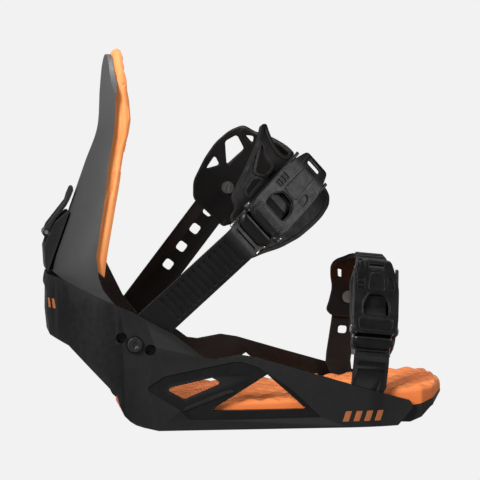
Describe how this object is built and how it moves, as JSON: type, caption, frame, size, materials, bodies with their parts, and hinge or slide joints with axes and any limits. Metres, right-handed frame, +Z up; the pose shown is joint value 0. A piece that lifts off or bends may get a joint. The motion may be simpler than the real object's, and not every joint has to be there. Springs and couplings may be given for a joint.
{
  "type": "snowboard strap binding",
  "caption": "Snowboard strap binding for a right foot: baseplate on a slotted mounting disc, padded highback with lean adjuster, and ratchet ankle and toe straps.",
  "frame": {"origin": "centre of the mounting disc, on the plane of the board", "axes": "+X towards the toe, +Y towards the inner side of the foot, +Z up from the board"},
  "size_m": [0.3049, 0.1172, 0.2762],
  "materials": {
    "moulded_plastic": "satin moulded, fine texture",
    "orange_foam": "matte foam",
    "strap_polymer": "satin",
    "steel": "zinc plated",
    "black_steel": "black"
  },
  "bodies": {
    "base": {"baseplate": "moulded_plastic", "footbed": "orange_foam", "toe_ramp": "moulded_plastic", "toe_ramp_screws": "steel", "ankle_bolts": "black_steel", "ankle_sleeve_nuts": "steel", "toe_strap_screws": "steel", "toe_strap_inserts": "steel"},
    "mounting_disc": {"mounting_disc": "moulded_plastic"},
    "highback": {"highback_shell": "moulded_plastic", "highback_pad": "orange_foam"},
    "lean_adjuster": {"lean_block": "moulded_plastic", "lean_clamp_bolt": "steel", "lean_clamp_plate": "steel", "lean_lever_pin": "steel"},
    "lean_lever": {"lean_lever": "moulded_plastic"},
    "ankle_strap": {"ankle_adjusting_strap": "strap_polymer", "ankle_pad": "strap_polymer", "ankle_strap_screw": "steel", "ankle_strap_nut": "steel", "ankle_buckle_channel": "steel", "ankle_ladder_cover": "moulded_plastic", "ankle_buckle_rivets": "steel", "ankle_lever_axle": "steel", "ankle_release_pin": "steel", "ankle_release_spring": "steel"},
    "ankle_ladder": {"ankle_ladder": "strap_polymer"},
    "ankle_lever": {"ankle_ratchet_lever": "moulded_plastic", "ankle_pawl_pin": "steel", "ankle_drive_spring": "steel"},
    "ankle_drive_pawl": {"ankle_drive_pawl": "steel"},
    "ankle_release_lever": {"ankle_release_lever": "moulded_plastic"},
    "toe_strap": {"toe_adjusting_strap": "strap_polymer", "toe_cap": "strap_polymer", "toe_cap_screw": "steel", "toe_cap_nut": "steel", "toe_buckle_channel": "steel", "toe_ladder_cover": "moulded_plastic", "toe_buckle_rivets": "steel", "toe_lever_axle": "steel", "toe_release_pin": "steel", "toe_release_spring": "steel"},
    "toe_ladder": {"toe_ladder": "strap_polymer"},
    "toe_lever": {"toe_ratchet_lever": "moulded_plastic", "toe_pawl_pin": "steel", "toe_drive_spring": "steel"},
    "toe_drive_pawl": {"toe_drive_pawl": "steel"},
    "toe_release_lever": {"toe_release_lever": "moulded_plastic"}
  },
  "joints": [
    {"name": "disc_rotation", "type": "hinge", "parent": "base", "child": "mounting_disc", "pos_m": [0, 0, 0.004], "axis": [0, 0, 1], "continuous": true},
    {"name": "highback_fold", "type": "hinge", "parent": "base", "child": "highback", "pos_m": [-0.0935, 0, 0.0642], "axis": [0, 1, 0], "range_deg": [0, 15]},
    {"name": "lean_block_slide", "type": "slide", "parent": "highback", "child": "lean_adjuster", "axis": [0.342, 0, 0.9397], "range_m": [0, 0.02]},
    {"name": "lean_lever_flip", "type": "hinge", "parent": "lean_adjuster", "child": "lean_lever", "pos_m": [-0.15378, 0, 0.14235], "axis": [0, -1, 0], "range_deg": [0, 110]},
    {"name": "ankle_strap_swing", "type": "hinge", "parent": "base", "child": "ankle_strap", "pos_m": [-0.0935, 0, 0.0642], "axis": [0, 1, 0], "range_deg": [-8, 10]},
    {"name": "ankle_ladder_swing", "type": "hinge", "parent": "base", "child": "ankle_ladder", "pos_m": [-0.0935, 0, 0.0642], "axis": [0, 1, 0], "range_deg": [-8, 10]},
    {"name": "ankle_lever_lift", "type": "hinge", "parent": "ankle_strap", "child": "ankle_lever", "pos_m": [0.00265, -0.03931, 0.15077], "axis": [0.6691, 0, -0.7431], "range_deg": [0, 75]},
    {"name": "ankle_drive_pawl_click", "type": "hinge", "parent": "ankle_lever", "child": "ankle_drive_pawl", "pos_m": [0.00725, -0.03711, 0.15492], "axis": [-0.6691, 0, 0.7431], "range_deg": [0, 8]},
    {"name": "ankle_release_lift", "type": "hinge", "parent": "ankle_strap", "child": "ankle_release_lever", "pos_m": [0.01917, -0.02575, 0.16565], "axis": [-0.6691, 0, 0.7431], "range_deg": [0, 15]},
    {"name": "toe_strap_swing", "type": "hinge", "parent": "base", "child": "toe_strap", "pos_m": [0.079, 0, 0.0175], "axis": [0, 1, 0], "range_deg": [-5, 5]},
    {"name": "toe_ladder_swing", "type": "hinge", "parent": "base", "child": "toe_ladder", "pos_m": [0.079, 0, 0.0175], "axis": [0, 1, 0], "range_deg": [-5, 5]},
    {"name": "toe_lever_lift", "type": "hinge", "parent": "toe_strap", "child": "toe_lever", "pos_m": [0.08453, -0.04639, 0.07008], "axis": [0.9945, 0, -0.1045], "range_deg": [0, 75]},
    {"name": "toe_drive_pawl_click", "type": "hinge", "parent": "toe_lever", "child": "toe_drive_pawl", "pos_m": [0.08519, -0.04466, 0.07639], "axis": [-0.9945, 0, 0.1045], "range_deg": [0, 8]},
    {"name": "toe_release_lift", "type": "hinge", "parent": "toe_strap", "child": "toe_release_lever", "pos_m": [0.08695, -0.03453, 0.09313], "axis": [-0.9945, 0, 0.1045], "range_deg": [0, 15]}
  ],
  "couplings": [
    {"joint": "ankle_ladder_swing", "follows": "ankle_strap_swing", "ratio": 1},
    {"joint": "toe_ladder_swing", "follows": "toe_strap_swing", "ratio": 1}
  ]
}
